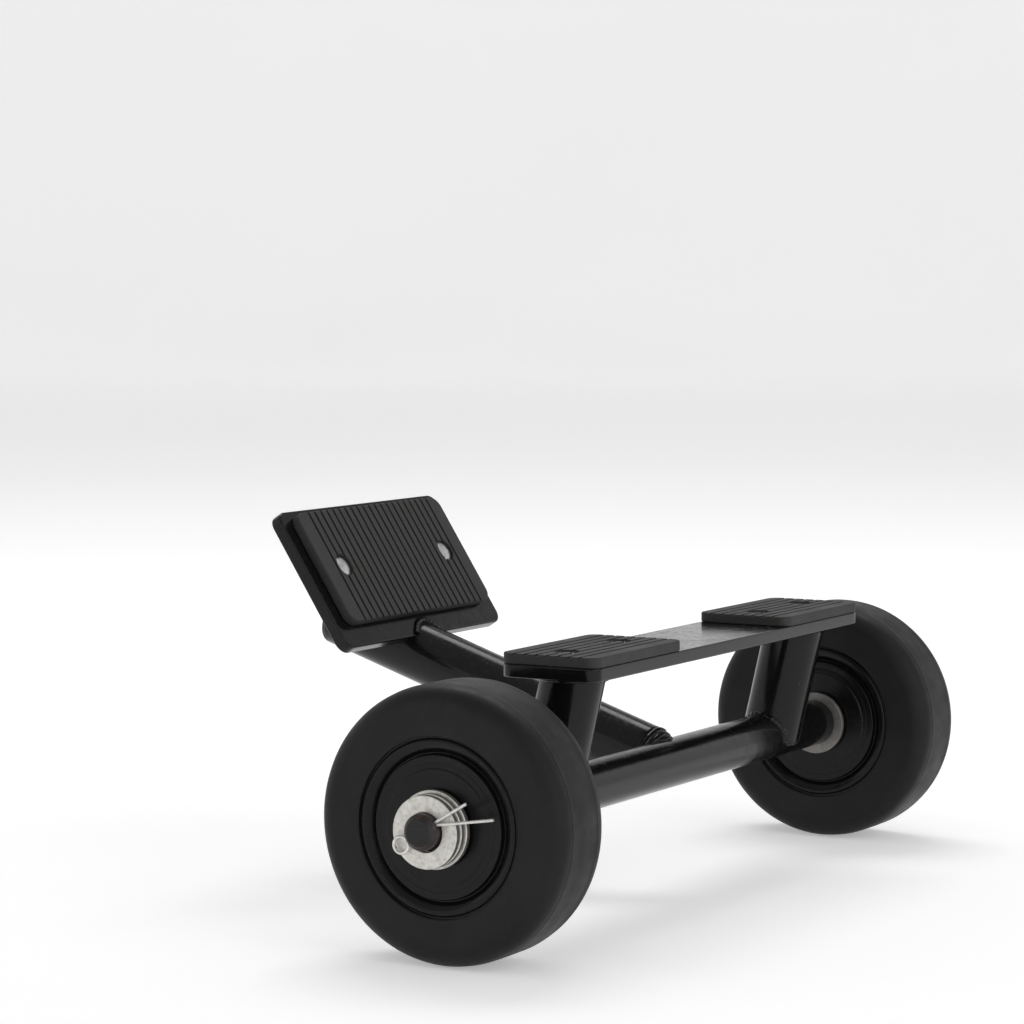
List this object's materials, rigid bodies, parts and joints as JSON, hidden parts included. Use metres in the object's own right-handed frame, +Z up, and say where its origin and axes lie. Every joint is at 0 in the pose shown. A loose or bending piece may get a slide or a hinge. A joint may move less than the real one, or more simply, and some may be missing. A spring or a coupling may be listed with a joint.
{
  "type": "plate compactor transport wheel dolly",
  "caption": "Low two-wheel dolly with an axle tube, two short legs under a padded saddle bar, and a rising arm with a padded nose plate, for moving a plate compactor.",
  "frame": {"origin": "on the floor, below the middle of the whole dolly", "axes": "+X along the carried machine from its nose to its handle, +Y along the axle towards the far wheel, +Z up"},
  "size_m": [0.206, 0.3748, 0.147],
  "materials": {
    "tyre_rubber": "satin moulded rubber",
    "core_plastic": "moulded black plastic",
    "black_paint": "gloss black paint",
    "rod_oxide": "dark brown oxide",
    "zinc_plate": "galvanised, mottled",
    "pin_steel": "bright drawn wire",
    "pad_rubber": "matt rubber sheet",
    "rivet_alu": "bright aluminium",
    "plug_plastic": "moulded black plastic"
  },
  "bodies": {
    "frame": {"axle_tube": "black_paint", "axle_rod": "rod_oxide", "leg_near": "black_paint", "leg_far": "black_paint", "centre_arm": "black_paint", "arm_plug": "plug_plastic", "saddle_bar": "black_paint", "saddle_pad_near": "pad_rubber", "saddle_pad_far": "pad_rubber", "saddle_rivets": "rivet_alu", "nose_plate": "black_paint", "nose_web": "black_paint", "nose_pad": "pad_rubber", "nose_rivets": "rivet_alu", "washer_near_1": "zinc_plate", "washer_near_2": "zinc_plate", "washer_near_3": "zinc_plate", "inner_washer_near": "zinc_plate", "washer_far_1": "zinc_plate", "washer_far_2": "zinc_plate", "washer_far_3": "zinc_plate", "inner_washer_far": "zinc_plate", "split_pin_near": "pin_steel", "split_pin_far": "pin_steel"},
    "wheel_near": {"tyre_near": "tyre_rubber", "core_near": "core_plastic", "sleeve_near": "zinc_plate"},
    "wheel_far": {"tyre_far": "tyre_rubber", "core_far": "core_plastic", "sleeve_far": "zinc_plate"}
  },
  "joints": [
    {"name": "wheel_near_spin", "type": "hinge", "parent": "frame", "child": "wheel_near", "pos_m": [0.05301, -0.1575, 0.05], "axis": [0, 1, 0], "continuous": true},
    {"name": "wheel_far_spin", "type": "hinge", "parent": "frame", "child": "wheel_far", "pos_m": [0.05301, 0.1575, 0.05], "axis": [0, 1, 0], "continuous": true}
  ]
}
